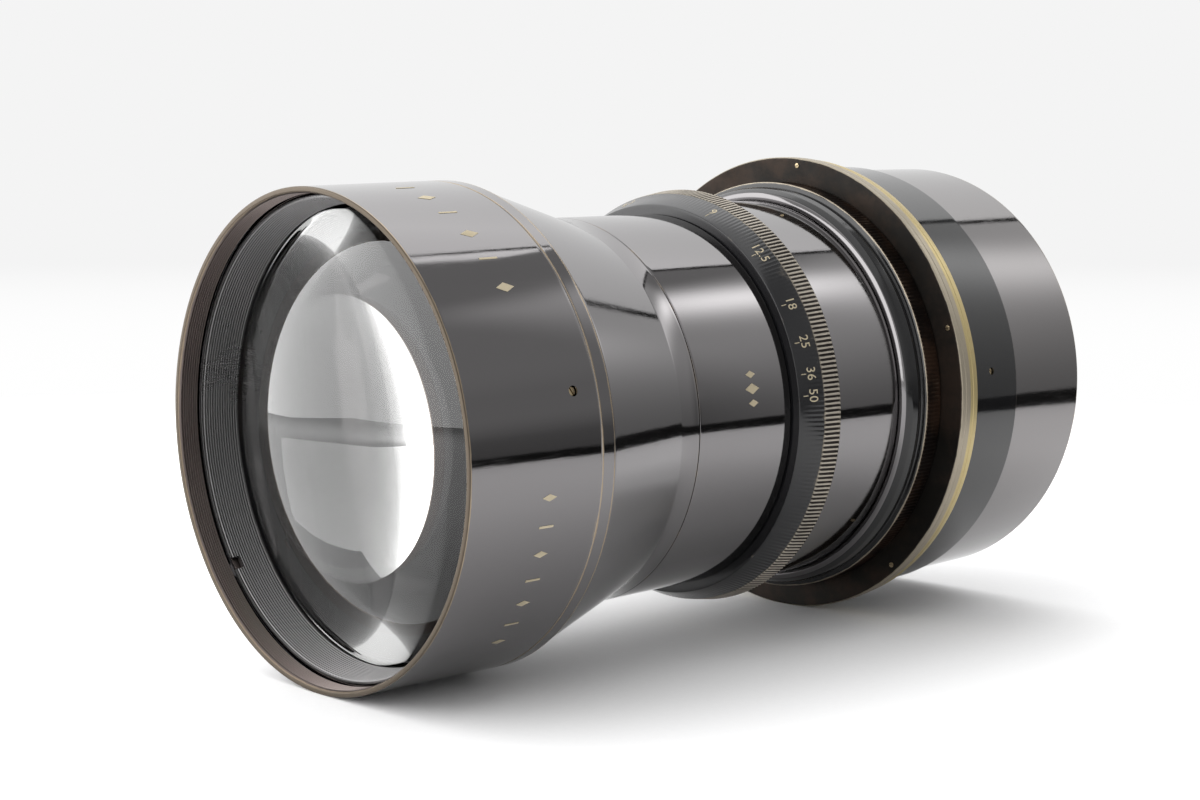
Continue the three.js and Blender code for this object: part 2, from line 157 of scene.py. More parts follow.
def cut_with(piece, cutters):
    """Cuts the cutters out of the piece for good."""
    for cutter in cutters:
        modifier = piece.modifiers.new("cut", "BOOLEAN")
        modifier.operation = "DIFFERENCE"
        modifier.solver = "EXACT"
        modifier.object = cutter
    graph = bpy.context.evaluated_depsgraph_get()
    mesh = bpy.data.meshes.new_from_object(piece.evaluated_get(graph))
    piece.modifiers.clear()
    piece.data = mesh
    finish_mesh(mesh)
    for cutter in cutters:
        bpy.data.objects.remove(cutter)


def rod(name, radius, length, sides=32):
    """A plain round bar along its own Z, with its base at the origin."""
    vertices, faces = [], []
    for end in (0.0, length):
        for side in range(sides):
            angle = 2 * math.pi * side / sides
            vertices.append((radius * math.cos(angle) * MM, radius * math.sin(angle) * MM,
                             end * MM))
    for side in range(sides):
        nxt = (side + 1) % sides
        faces.append((side, nxt, sides + nxt, sides + side))
    faces.append(tuple(reversed(range(sides))))
    faces.append(tuple(range(sides, 2 * sides)))
    return new_piece(name, vertices, faces)


def block(name, width, depth, height):
    """A box centred on its own origin."""
    x, y, z = width * MM / 2, depth * MM / 2, height * MM / 2
    vertices = [(a * x, b * y, c * z) for a in (-1, 1) for b in (-1, 1) for c in (-1, 1)]
    faces = [(0, 1, 3, 2), (4, 6, 7, 5), (0, 4, 5, 1), (2, 3, 7, 6), (0, 2, 6, 4), (1, 5, 7, 3)]
    return new_piece(name, vertices, faces)


def radial_place(y, clock, distance):
    """The matrix that points a piece's own Z outwards at a clock angle."""
    angle = math.radians(clock)
    outward = Vector((math.sin(angle), 0, math.cos(angle)))
    along = Vector((0, 1, 0))
    across = along.cross(outward)
    matrix = Matrix((across, along, outward)).transposed().to_4x4()
    matrix.translation = outward * distance * MM + along * y * MM
    return matrix


def axial_place(y, clock, distance):
    """The matrix that points a piece's own Z forwards, at a place out from the axis."""
    angle = math.radians(clock)
    outward = Vector((math.sin(angle), 0, math.cos(angle)))
    forward = Vector((0, -1, 0))
    across = outward.cross(forward)
    matrix = Matrix((across, outward, forward)).transposed().to_4x4()
    matrix.translation = outward * distance * MM + Vector((0, y * MM, 0))
    return matrix


def settle(piece, matrix):
    """Moves the mesh of a piece, so that its origin stays at the frame's."""
    piece.data.transform(matrix)
    return piece


def slotted_screw(name, radius, length, slot_width, slot_depth, matrix, turn=0.0):
    """A small headless screw: a round bar with a chamfered top and a screwdriver slot."""
    piece = rod(name, radius, length)
    bevel = piece.modifiers.new("chamfer", "BEVEL")
    bevel.width = 0.12 * radius * MM
    bevel.segments = 2
    bevel.limit_method = "ANGLE"
    slot = block("slot_cutter", 4 * radius, slot_width, 2 * slot_depth)
    slot.data.transform(Matrix.Translation((0, 0, length * MM)) @ Matrix.Rotation(turn, 4, "Z"))
    cut_with(piece, [slot])
    return settle(piece, matrix)


# ------------------------------------------------------------------ materials

MM_IN_METRE = 1000.0
TYPICAL_RADIUS = 35.0     # mm; turns an angle round the axis into a length


class Shader:
    """A node tree that is easier to write."""

    def __init__(self, name):
        self.material = bpy.data.materials.new(name)
        self.material.use_nodes = True
        self.tree = self.material.node_tree
        self.tree.nodes.clear()
        self.output = self.tree.nodes.new("ShaderNodeOutputMaterial")
        self.bsdf = self.tree.nodes.new("ShaderNodeBsdfPrincipled")
        self.link(self.bsdf.outputs["BSDF"], self.output.inputs["Surface"])

    def link(self, start, end):
        self.tree.links.new(start, end)

    def feed(self, socket, value):
        if isinstance(value, bpy.types.NodeSocket):
            self.link(value, socket)
        else:
            socket.default_value = value

    def math(self, operation, first, second=0.0, third=0.0):
        node = self.tree.nodes.new("ShaderNodeMath")
        node.operation = operation
        for socket, value in zip(node.inputs, (first, second, third)):
            self.feed(socket, value)
        return node.outputs[0]

    def hypotenuse(self, first, second):
        squares = self.math("ADD", self.math("MULTIPLY", first, first),
                            self.math("MULTIPLY", second, second))
        return self.math("SQRT", squares)

    def combine(self, x, y, z):
        node = self.tree.nodes.new("ShaderNodeCombineXYZ")
        for socket, value in zip(node.inputs, (x, y, z)):
            self.feed(socket, value)
        return node.outputs[0]

    def object_space(self):
        return self.tree.nodes.new("ShaderNodeTexCoord").outputs["Object"]

    def polar(self):
        """Round the axis, along it and out from it, in millimetres."""
        split = self.tree.nodes.new("ShaderNodeSeparateXYZ")
        self.link(self.object_space(), split.inputs[0])
        x, y, z = split.outputs
        angle = self.math("ARCTAN2", x, z)
        radius = self.math("MULTIPLY", self.hypotenuse(x, z), MM_IN_METRE)
        return (self.math("MULTIPLY", angle, TYPICAL_RADIUS),
                self.math("MULTIPLY", y, MM_IN_METRE), radius)

    def noise(self, vector, scale, detail=2.0, roughness=0.5):
        node = self.tree.nodes.new("ShaderNodeTexNoise")
        self.link(vector, node.inputs["Vector"])
        node.inputs["Scale"].default_value = scale
        node.inputs["Detail"].default_value = detail
        node.inputs["Roughness"].default_value = roughness
        return node.outputs["Fac"]

    def span(self, value, low, high, out_low=0.0, out_high=1.0):
        node = self.tree.nodes.new("ShaderNodeMapRange")
        node.interpolation_type = "SMOOTHSTEP"
        self.feed(node.inputs["Value"], value)
        node.inputs["From Min"].default_value = low
        node.inputs["From Max"].default_value = high
        node.inputs["To Min"].default_value = out_low
        node.inputs["To Max"].default_value = out_high
        return node.outputs["Result"]

    def blend(self, factor, first, second):
        node = self.tree.nodes.new("ShaderNodeMix")
        node.data_type = "RGBA"
        self.feed(node.inputs["Factor"], factor)
        for socket, value in ((node.inputs["A"], first), (node.inputs["B"], second)):
            self.feed(socket, value if isinstance(value, bpy.types.NodeSocket) else (*value, 1.0))
        return node.outputs["Result"]

    def attribute(self, name):
        node = self.tree.nodes.new("ShaderNodeAttribute")
        node.attribute_name = name
        return node.outputs["Fac"]

    def bump(self, height, distance, strength=1.0, normal=None):
        node = self.tree.nodes.new("ShaderNodeBump")
        self.link(height, node.inputs["Height"])
        node.inputs["Distance"].default_value = distance * MM
        node.inputs["Strength"].default_value = strength
        if normal is not None:
            self.link(normal, node.inputs["Normal"])
        return node.outputs["Normal"]

    def set(self, **values):
        names = {"color": "Base Color", "ior": "IOR", "transmission": "Transmission Weight",
                 "coat": "Coat Weight", "specular": "Specular IOR Level"}
        for key, value in values.items():
            socket = self.bsdf.inputs[names.get(key, key.capitalize())]
            if isinstance(value, tuple):
                value = (*value, 1.0)
            self.feed(socket, value)
        return self.material


BRASS = (0.34, 0.275, 0.2)
GREY_BRASS = (0.33, 0.29, 0.23)
WEAR_STARTS, WEAR_FULL = 0.35, 0.75


def worn_finish(name, body, brass, gloss, dull, lines=0.6, speckle=0.72, metallic=1.0,
                blotch=None, line_bump=0.0012, grit_bump=0.12):
    """Lacquer over brass: turned lines, streaks, smudges, and brass where it has worn off.

    gloss and dull are the roughness of the lacquer and of the bare brass. The lacquer mirrors
    like a dark metal unless metallic is lower. blotch is a second colour, in patches.
    """
    s = Shader(name)
    around, along, out = s.polar()
    turning = s.noise(s.combine(s.math("MULTIPLY", around, 0.02),
                                s.math("ADD", along, out), 0.0), 9.0, 3.0, 0.7)
    streak = s.noise(s.combine(s.math("MULTIPLY", around, 3.0),
                               s.math("MULTIPLY", along, 0.16), out), 1.6, 3.0, 0.6)
    space = s.object_space()
    smudge = s.noise(space, 55.0, 4.0, 0.6)
    grit = s.noise(space, 1400.0, 3.0, 0.7)
    patch = s.noise(space, 260.0, 4.0, 0.65)
    bare = s.attribute("bare")
    edge = s.math("ADD", bare, s.math("MULTIPLY", s.math("SUBTRACT", patch, 0.5), 0.9))
    edge = s.span(edge, WEAR_STARTS, WEAR_FULL)
    flecks = s.span(s.math("ADD", s.math("MULTIPLY", grit, 0.55),
                           s.math("MULTIPLY", patch, 0.45)), speckle, speckle + 0.03, 0.0, 0.8)
    mask = s.math("MAXIMUM", edge, flecks)
    mask = s.math("MINIMUM", mask, 1.0)
    shade = body
    if blotch:
        shade = s.blend(s.span(s.noise(space, 90.0, 5.0, 0.7), 0.42, 0.66), body, blotch)
    brass_tone = s.blend(smudge, tuple(0.75 * c for c in brass), brass)
    rough = s.math("ADD", s.span(smudge, 0.3, 0.75, gloss, gloss * 1.6),
                   s.span(streak, 0.45, 0.8, 0.0, 0.06))
    rough = s.math("ADD", rough, s.math("MULTIPLY", mask, dull - gloss))
    normal = s.bump(turning, line_bump, lines)
    normal = s.bump(streak, 0.0025, 0.5, normal)
    normal = s.bump(grit, 0.004, grit_bump, normal)
    return s.set(color=s.blend(mask, shade, brass_tone),
                 metallic=s.math("MAXIMUM", mask, metallic), roughness=rough, normal=normal)


def glass_finish(name):
    """Clear glass with a trace of haze and wiping marks."""
    s = Shader(name)
    space = s.object_space()
    haze = s.noise(space, 180.0, 5.0, 0.65)
    round_the_axis = [s.math("MULTIPLY", value, scale)
                      for value, scale in zip(s.polar(), (0.02, 0.4, 0.4))]
    wipe = s.noise(s.combine(*round_the_axis), 6.0, 3.0, 0.6)
    rough = s.span(s.math("MULTIPLY", haze, wipe), 0.2, 0.5, 0.0, 0.02)
    return s.set(color=(0.985, 0.99, 0.98), ior=1.57, transmission=1.0, roughness=rough)


def paint_finish(name, tone, brown, roughness):
    """Grainy matt paint with browned patches."""
    s = Shader(name)
    space = s.object_space()
    grain = s.noise(space, 700.0, 4.0, 0.6)
    cloud = s.noise(space, 70.0, 4.0, 0.6)
    color = s.blend(s.span(cloud, 0.42, 0.7), tone, brown)
    rough = s.span(grain, 0.3, 0.7, roughness - 0.06, roughness + 0.1)
    return s.set(color=color, metallic=0.0, roughness=rough, normal=s.bump(grain, 0.012, 0.5))


def rim_finish_painted_light(name):
    """The ground rim of a glass, dusty: blackened and speckled below, painted pale above as
    painted light.
    """
    s = Shader(name)
    space = s.object_space()
    split = s.tree.nodes.new("ShaderNodeSeparateXYZ")
    s.link(space, split.inputs[0])
    dust = s.noise(space, 900.0, 4.0, 0.7)
    cloud = s.noise(space, 60.0, 3.0, 0.6)
    specks = s.span(dust, 0.66, 0.7, 0.0, 0.7)
    dark = s.blend(specks, (0.006, 0.007, 0.007), (0.3, 0.31, 0.3))
    # painted light: the upper half of the rim is painted pale as if lit; the lower half keeps its
    # blackened colour
    pale = s.blend(cloud, (0.1, 0.103, 0.095), (0.17, 0.17, 0.16))
    height = s.math("ADD", split.outputs[2], s.math("MULTIPLY", cloud, 0.002))
    return s.set(color=s.blend(s.span(height, 0.0, 0.003), dark, pale),
                 roughness=s.span(dust, 0.3, 0.7, 0.5, 0.7), normal=s.bump(dust, 0.01, 0.4))


LACQUER = (0.172, 0.166, 0.168)
materials = {
    "lacquer": worn_finish("lacquer_gloss", LACQUER, BRASS, 0.045, 0.34),
    "tube": worn_finish("lacquer_satin", (0.19, 0.182, 0.182), BRASS, 0.06, 0.36, lines=0.8),
    "mount": worn_finish("lacquer_deep", (0.006, 0.006, 0.0065), BRASS, 0.06, 0.36, lines=0.8,
                         metallic=0.0),
    "ring": worn_finish("lacquer_ring", (0.007, 0.007, 0.008), GREY_BRASS, 0.15, 0.4,
                        metallic=0.0),
    "collar": worn_finish("lacquer_collar", (0.006, 0.006, 0.0065), GREY_BRASS, 0.1, 0.4,
                          metallic=0.05),
    "knurl": worn_finish("knurl_worn", (0.03, 0.026, 0.024), (0.46, 0.42, 0.36), 0.35, 0.42,
                         lines=0.2),
    "brown": worn_finish("knurl_brown", (0.022, 0.017, 0.015), (0.26, 0.2, 0.15), 0.4, 0.5,
                         lines=0.3, blotch=(0.075, 0.045, 0.03)),
    "flange": worn_finish("flange_face", (0.016, 0.0145, 0.013), (0.34, 0.3, 0.235), 0.42, 0.36,
                          lines=0.4, metallic=0.9, blotch=(0.032, 0.023, 0.018)),
    "brass": worn_finish("brass_edge", (0.4, 0.33, 0.17), (0.46, 0.375, 0.19), 0.3, 0.34,
                         lines=1.0, line_bump=0.004),
    "lip": worn_finish("lip_brown", (0.05, 0.042, 0.036), (0.115, 0.094, 0.072), 0.3, 0.42,
                       lines=0.4),
    "thread": worn_finish("thread_brown", (0.14, 0.116, 0.108), (0.3, 0.24, 0.18), 0.3, 0.4,
                          lines=0.2),
    "grooved": worn_finish("grooved_black", (0.15, 0.147, 0.147), (0.3, 0.27, 0.25), 0.26, 0.4,
                           lines=0.1),
    "screw": worn_finish("screw_brass", (0.4, 0.32, 0.2), BRASS, 0.3, 0.36),
    "gilt": worn_finish("gilt_fill", (0.5, 0.44, 0.32), (0.6, 0.54, 0.42), 0.5, 0.5),
    "steel": worn_finish("blade_steel", (0.09, 0.09, 0.095), (0.3, 0.3, 0.3), 0.35, 0.4,
                         speckle=0.8, grit_bump=0.01),
    "inner": paint_finish("inner_black", (0.012, 0.012, 0.013), (0.03, 0.024, 0.02), 0.55),
    "rim": rim_finish_painted_light("ground_rim_painted_light"),
    "glass": glass_finish("optical_glass"),
}


def dress(piece, material, body, slot, *nodes):
    """Gives a piece its material and body, and hides the CAD nodes that it stands for; slot is not
    used.
    """
    if not piece.data.materials:
        piece.data.materials.append(materials[material])
    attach(piece, body)
    if nodes:
        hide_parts(*nodes)
    return piece


def second_finish(piece, material, where):
    """Gives another material to the faces whose radius and y, in mm, where() picks."""
    piece.data.materials.append(materials[material])
    index = len(piece.data.materials) - 1
    for polygon in piece.data.polygons:
        centre = polygon.center
        if where(math.hypot(centre.x, centre.z) / MM, centre.y / MM):
            polygon.material_index = index


# ------------------------------------------------------------------ front of the lens

HOOD_FRONT, HOOD_REAR = -100.0, -75.6
HOOD_FRONT_RADIUS, HOOD_REAR_RADIUS = 35.0, 35.4
HOOD_SCREW_Y, HOOD_SCREW_CLOCK = -82.0, 77.15


def hood_radius(y):
    """The front tube widens a little towards the rear."""
    share = (y - HOOD_FRONT) / (HOOD_REAR - HOOD_FRONT)
    return HOOD_FRONT_RADIUS + (HOOD_REAR_RADIUS - HOOD_FRONT_RADIUS) * share


def make_hood():
    """The front tube, with a turned line near its rear and ridges in its mouth."""
    line_y = -77.95
    line_radius = hood_radius(line_y)
    corners = [corner(34.35, HOOD_FRONT, 0.15, 1.0),
               corner(HOOD_FRONT_RADIUS, HOOD_FRONT, 0.3, 1.0),
               corner(line_radius, line_y - 0.15, 0.04, 0.5),
               corner(line_radius - 0.16, line_y, 0.03, 0.2),
               corner(line_radius, line_y + 0.15, 0.05, 0.8),
               corner(HOOD_REAR_RADIUS, HOOD_REAR, 0.16, 0.75),
               corner(34.15, HOOD_REAR, 0.1),
               corner(34.15, -95.9, 0.05), corner(34.75, -95.9, 0.05),
               corner(34.75, -96.5, 0.05)]
    corners += list(reversed(ridges(-99.55, -96.5, 34.1, 0.22, 8)))
    piece = turned("hood_tube", corners)
    hole = settle(rod("hole_cutter", 0.72, 4),
                  radial_place(HOOD_SCREW_Y, HOOD_SCREW_CLOCK, 33))
    cut_with(piece, [hole])
    dress(piece, "lacquer", "barrel", "black_lacquer", "front_hood")
    second_finish(piece, "thread", lambda radius, y: radius < 34.4 and y > -99.8)
    second_finish(piece, "lip", lambda radius, y: y < -99.8)


make_hood()


def make_retainer():
    """The ring that holds the front glass, grooved inside, with two spanner notches."""
    corners = [corner(33.42, -96.4, 0.06, 0.3), corner(33.85, -96.4, 0.08, 0.35),
               corner(33.85, -90.6, 0.06), corner(32.5, -90.6, 0.05, 0.2)]
    grooves = 14
    pitch = 5.4 / grooves
    for index in range(grooves):
        y = -90.8 - index * pitch
        radius = 32.5 + 0.9 * (-90.6 - y) / 5.8     # the bore opens by 0.9 mm in 5.8 mm
        corners.append(corner(radius, y, 0.02))
        corners.append(corner(radius + 0.02, y - 0.4 * pitch, 0.02))
        corners.append(corner(radius + 0.2, y - 0.62 * pitch, 0.0))
    piece = turned("front_grooved_ring", corners)
    cutters = []
    for clock in (-128, 52):
        cutter = block("notch_cutter", 2.0, 2.6, 4.0)
        cutters.append(settle(cutter, radial_place(-96.4, clock, 33.0)))
    cut_with(piece, cutters)
    dress(piece, "grooved", "barrel", "matt_black", "front_retaining_ring")


make_retainer()


def make_front_cell():
    """The cell behind the front glass."""
    piece = turned("front_cell_ring", [
        corner(33.2, -90.4), corner(33.85, -90.4), corner(33.85, -79.8), corner(31.6, -79.8),
        corner(31.6, -83.4), corner(33.2, -83.4)])
    dress(piece, "inner", "barrel", "matt_black", "front_glass_cell")


make_front_cell()


def lens_surface(radius, edge_y, curve, rings):
    """Rings of a lens surface, centre first: (ring radius, y). curve is its radius."""
    def sag(r):
        return math.copysign(abs(curve) - math.sqrt(curve * curve - r * r), curve)
    return [(radius * k / rings, edge_y - sag(radius) + sag(radius * k / rings))
            for k in range(rings + 1)]


def make_glass(name, radius, front_edge, front_curve, rear_edge, rear_curve, *nodes):
    """A lens with polished faces and a ground, blackened rim."""
    rings, sides, chamfer = 32, 160, 0.25
    front = lens_surface(radius - chamfer, front_edge, front_curve, rings)
    rear = lens_surface(radius - chamfer, rear_edge, rear_curve, rings)
    rim = [(radius, front_edge + chamfer), (radius, rear_edge - chamfer)]
    outline = front + rim + list(reversed(rear))
    vertices = [(0, outline[0][1] * MM, 0), (0, outline[-1][1] * MM, 0)]
    for side in range(sides):
        angle = 2 * math.pi * side / sides
        for r, y in outline[1:-1]:
            vertices.append((r * math.sin(angle) * MM, y * MM, r * math.cos(angle) * MM))
    count = len(outline) - 2
    faces, marks = [], []
    for side in range(sides):
        here, there = 2 + side * count, 2 + ((side + 1) % sides) * count
        faces.append((0, there, here))
        marks.append(0)
        for index in range(count - 1):
            faces.append((here + index, there + index, there + index + 1, here + index + 1))
            marks.append(1 if rings - 1 <= index <= rings + 1 else 0)
        faces.append((1, here + count - 1, there + count - 1))
        marks.append(0)
    piece = new_piece(name, vertices, faces)
    piece.data.materials.append(materials["glass"])
    piece.data.materials.append(materials["rim"])
    piece.data.polygons.foreach_set("material_index", marks)
    finish_mesh(piece.data, 30)
    dress(piece, "glass", "barrel", "glass", *nodes)


make_glass("front_cemented_pair", 33.0, -90.0, 66, -84.6, -66,
           "front_crown_element", "front_flint_element")
hood_screw = slotted_screw("hood_grub_screw", 0.62, 1.0, 0.22, 0.3,
                           radial_place(HOOD_SCREW_Y, HOOD_SCREW_CLOCK, 33.95), 0.5)
dress(hood_screw, "screw", "barrel", "screw_brass", "front_set_screw")


def make_cone():
    """The conical neck between the front tube and the main tube."""
    corners = [corner(32.6, -79.5), corner(33.85, -79.5), corner(33.85, -75.45, 0.05),
               corner(35.15, -75.45, 0.14, 0.35), corner(29.55, -57.5, 0.0),
               corner(29.4, -57.0, 0.0), corner(29.4, -53.7, 0.08, 0.45), corner(27.9, -53.7),
               corner(27.9, -57.8), corner(32.6, -73.6)]
    piece = turned("cone_neck", corners)
    dress(piece, "lacquer", "barrel", "black_lacquer", "cone_barrel")


make_cone()


def make_main_barrel():
    """The main tube, stepped down where the iris ring and the collar go on."""
    corners = [corner(26.4, -57.5), corner(27.65, -57.5), corner(27.65, -53.55, 0.04),
               corner(29.4, -53.55, 0.08, 0.4), corner(29.4, -34.5, 0.08),
               corner(28.3, -34.5, 0.05), corner(28.3, 6.0, 0.1), corner(27.8, 6.0),
               corner(27.8, -37.1), corner(25.5, -37.1), corner(25.5, -38.3),
               corner(26.4, -38.3)]
    piece = turned("main_tube", corners)
    dress(piece, "lacquer", "barrel", "black_lacquer", "main_barrel")


make_main_barrel()

# ------------------------------------------------------------------ iris ring

IRIS_TEETH = 295
TOOTH_STEPS = 4


def iris_knurl(step, radius, y):
    """Straight teeth on the rear band of the control ring."""
    if radius < 32.0 or y < -30.35 or y > -27.5:
        return None
    if step % TOOTH_STEPS < TOOTH_STEPS / 2:
        return (0.0, 0.95)
    return (-0.17, 0.0)


def make_control_ring():
    """The bevelled iris ring with its knurled band."""
    corners = [corner(28.55, -34.2, 0.05), corner(30.9, -34.2, 0.18, 0.3),
               corner(32.5, -30.55, 0.06, 0.35), corner(32.62, -30.3, 0.03, 0.5),
               corner(33.1, -27.45, 0.08, 0.4), corner(32.8, -27.3, 0.05, 0.3),
               corner(28.55, -27.3, 0.05)]
    piece = turned("iris_ring_knurled", corners, IRIS_TEETH * TOOTH_STEPS, iris_knurl)
    dress(piece, "ring", "iris_ring", "knurled_brass", "iris_control_ring")
    second_finish(piece, "knurl", lambda radius, y: y > -30.42 and radius > 32.0)


make_control_ring()

BEVEL_START = (30.9, -34.2)
BEVEL_END = (32.5, -30.5)
BEVEL_LENGTH = math.dist(BEVEL_START, BEVEL_END)
STOPS = (("6.3", -13.0), ("9", 21.5), ("12.5", 42.4), ("18", 59.7), ("25", 70.8),
         ("36", 79.5), ("50", 85.4))     # each stop number and its clock angle
NUMERAL_HEIGHT = 1.45
NUMERAL_RISE = 1.75         # from the front lip of the bevel to the foot of the numerals
NUMERAL_RADIUS = 31.8       # where the numerals lie on the bevel
FONT_SIZE = 1.37            # size of the font for numerals 1 mm tall
INK_LIFT = 0.02             # paint and inlays stand this far above the metal


def on_bevel(clock, rise, lift):
    """A point on the bevel of the control ring, rise mm up from its front lip."""
    share = rise / BEVEL_LENGTH
    run = (BEVEL_END[0] - BEVEL_START[0], BEVEL_END[1] - BEVEL_START[1])
    normal = (run[1] / BEVEL_LENGTH, -run[0] / BEVEL_LENGTH)
    radius = BEVEL_START[0] + run[0] * share + normal[0] * lift
    y = BEVEL_START[1] + run[1] * share + normal[1] * lift
    angle = math.radians(clock)
    return Vector((radius * math.sin(angle), y, radius * math.cos(angle))) * MM


def flat_text(characters, height):
    """The outline of some numerals as a flat mesh, centred, height mm tall."""
    curve = bpy.data.curves.new("numerals", "FONT")
    curve.body = characters
    curve.size = height * FONT_SIZE
    curve.align_x = "CENTER"
    curve.space_character = 1.08
    curve.resolution_u = 4
    holder = bpy.data.objects.new("numerals", curve)
    bpy.context.collection.objects.link(holder)
    bpy.context.view_layer.update()
    mesh = bpy.data.meshes.new_from_object(
        holder.evaluated_get(bpy.context.evaluated_depsgraph_get()))
    bpy.data.objects.remove(holder)
    return mesh


def make_numerals():
    """The stop numbers and their ticks, filled with gilt paint, on the bevel."""
    vertices, faces = [], []
    for characters, clock in STOPS:
        mesh = flat_text(characters, NUMERAL_HEIGHT)
        start = len(vertices)
        for vertex in mesh.vertices:
            turn = math.degrees(vertex.co.x / NUMERAL_RADIUS)
            vertices.append(on_bevel(clock + turn, NUMERAL_RISE + vertex.co.y, INK_LIFT))
        faces += [tuple(start + index for index in p.vertices) for p in mesh.polygons]
        start = len(vertices)
        for turn, rise in ((-0.11, 0.75), (0.11, 0.75), (0.11, 1.55), (-0.11, 1.55)):
            vertices.append(on_bevel(clock + turn, rise, INK_LIFT))
        faces.append((start, start + 1, start + 2, start + 3))
    piece = new_piece("iris_numerals", vertices, faces)
    solid = piece.modifiers.new("thickness", "SOLIDIFY")
    solid.thickness = 0.03 * MM
    solid.offset = -1.0
    dress(piece, "gilt", "iris_ring", "knurled_brass")


make_numerals()

# ------------------------------------------------------------------ inlaid marks

LOZENGE = ((0, -1), (1, 0), (0, 1), (-1, 0))
BAR = ((-1, -1), (1, -1), (1, 1), (-1, 1))
BAR_HALF_WIDTH = 0.16
TUBE_RADIUS = 29.4
INLAY_THICKNESS = 0.05


def make_marks():
    """Plain inlaid marks: rows of lozenges and short bars, with no meaning."""
    upper = [(-87.6, clock, 0.75 if index % 2 else 0.45, 1.5, index % 2 == 0)
             for index, clock in enumerate((12, 20, 28, 36.5, 44.5, 52.5))]
    lower = [(-86.8, clock, 0.5, 1.2, index % 2 == 1)
             for index, clock in enumerate((99, 105.5, 112, 118.5, 125, 131.5, 138))]
    hood = []
    for y, clock, half_width, half_height, is_bar in upper + lower:
        width = BAR_HALF_WIDTH if is_bar else half_width
        hood.append([(hood_radius(y + rise * half_height), y + rise * half_height,
                      clock + math.degrees(across * width / 35.2))
                     for across, rise in (BAR if is_bar else LOZENGE)])
    tube = [[(TUBE_RADIUS, -42.4 + rise * size,
              clock + math.degrees(across * 0.55 * size / TUBE_RADIUS))
             for across, rise in LOZENGE]
            for clock, size in ((77.5, 1.0), (81.6, 1.45), (85.7, 1.0))]
    for name, shapes in (("hood_marks", hood), ("tube_marks", tube)):
        vertices, faces = [], []
        for shape in shapes:
            faces.append(tuple(range(len(vertices), len(vertices) + 4)))
            for radius, y, clock in shape:
                angle, reach = math.radians(clock), (radius + INK_LIFT) * MM
                vertices.append((reach * math.sin(angle), y * MM, reach * math.cos(angle)))
        piece = new_piece(name, vertices, faces)
        solid = piece.modifiers.new("thickness", "SOLIDIFY")
        solid.thickness = INLAY_THICKNESS * MM
        solid.offset = 0.0
        dress(piece, "gilt", "barrel", "black_lacquer")


make_marks()

# ------------------------------------------------------------------ rear of the lens

COLLAR_TEETH = 330
FLANGE_SCREW_CLOCKS = (6.8, 72.9, 139.8, 213.2, 286.6)
MOUNT_SCREW_Y, MOUNT_SCREW_CLOCK = 5.9, 84.8


def collar_knurl(step, radius, y):
    """Fine teeth on the rear band of the collar."""
    if radius < 33.6 or y < -7.75 or y > -4.75:
        return None
    if step % TOOTH_STEPS < TOOTH_STEPS / 2:
        return (0.0, 0.35)
    return (-0.14, 0.0)


def make_collar():
    """The beaded collar, with a plain sleeve that runs forward to the iris ring."""
    corners = [corner(28.6, -26.95, 0.05), corner(31.0, -26.95, 0.1, 0.3),
               corner(31.0, -11.0, 0.05), corner(31.15, -11.25, 0.1), corner(31.6, -11.35, 0.5),
               corner(32.3, -11.0, 0.9), corner(32.9, -10.1, 0.9), corner(33.15, -9.1, 0.4),
               corner(33.15, -8.35, 0.05), corner(33.0, -8.2, 0.04),
               corner(33.15, -8.05, 0.05), corner(33.6, -7.95, 0.05, 0.1),
               corner(33.95, -7.8, 0.05, 0.8),
               corner(33.95, -4.5, 0.05), corner(28.6, -4.5, 0.05)]
    piece = turned("rear_beaded_collar", corners, COLLAR_TEETH * TOOTH_STEPS, collar_knurl)
    dress(piece, "collar", "barrel", "browned_brass", "rear_collar")
    second_finish(piece, "brown", lambda radius, y: y > -7.8 and radius > 33.6)
    second_finish(piece, "lacquer", lambda radius, y: y < -10.98)


make_collar()


def make_flange():
    """The two plates of the flange, with turned lines in their edges, and their screws."""
    front = turned("flange_front_plate", [
        corner(28.6, -4.3, 0.05), corner(37.75, -4.3, 0.05, 0.2), corner(38.0, -4.1, 0.08, 1.0),
        corner(38.0, -3.35, 0.03, 1.0), corner(37.9, -3.25, 0.03, 1.0),
        corner(38.0, -3.15, 0.03, 1.0), corner(38.0, -2.1, 0.08, 1.0), corner(28.6, -2.1, 0.05)])
    dress(front, "flange", "barrel", "worn_brass", "mounting_flange")
    back = turned("flange_rear_plate", [
        corner(28.6, -2.02, 0.05), corner(37.8, -2.02, 0.1, 1.0), corner(37.8, -1.25, 0.03, 1.0),
        corner(37.7, -1.15, 0.03, 1.0), corner(37.8, -1.05, 0.03, 1.0),
        corner(37.75, 0, 0.15, 1.0), corner(28.6, 0, 0.05)])
    dress(back, "brass", "barrel", "worn_brass", "flange_backing_ring")
    for index, clock in enumerate(FLANGE_SCREW_CLOCKS):
        screw = slotted_screw(f"flange_pin_{index + 1}", 0.42, 0.5, 0.12, 0.12,
                              axial_place(-3.9, clock, 36.8), 0.4 + index)
        dress(screw, "screw", "barrel", "screw_brass", f"flange_screw_{index + 1}")


make_flange()


def spanner_slots(width, depth, height, distance):
    """Two cutters on opposite sides of a ring whose rear face is at y 5.6."""
    return [settle(block("notch_cutter", width, depth, height), radial_place(5.6, clock, distance))
            for clock in (0, 180)]


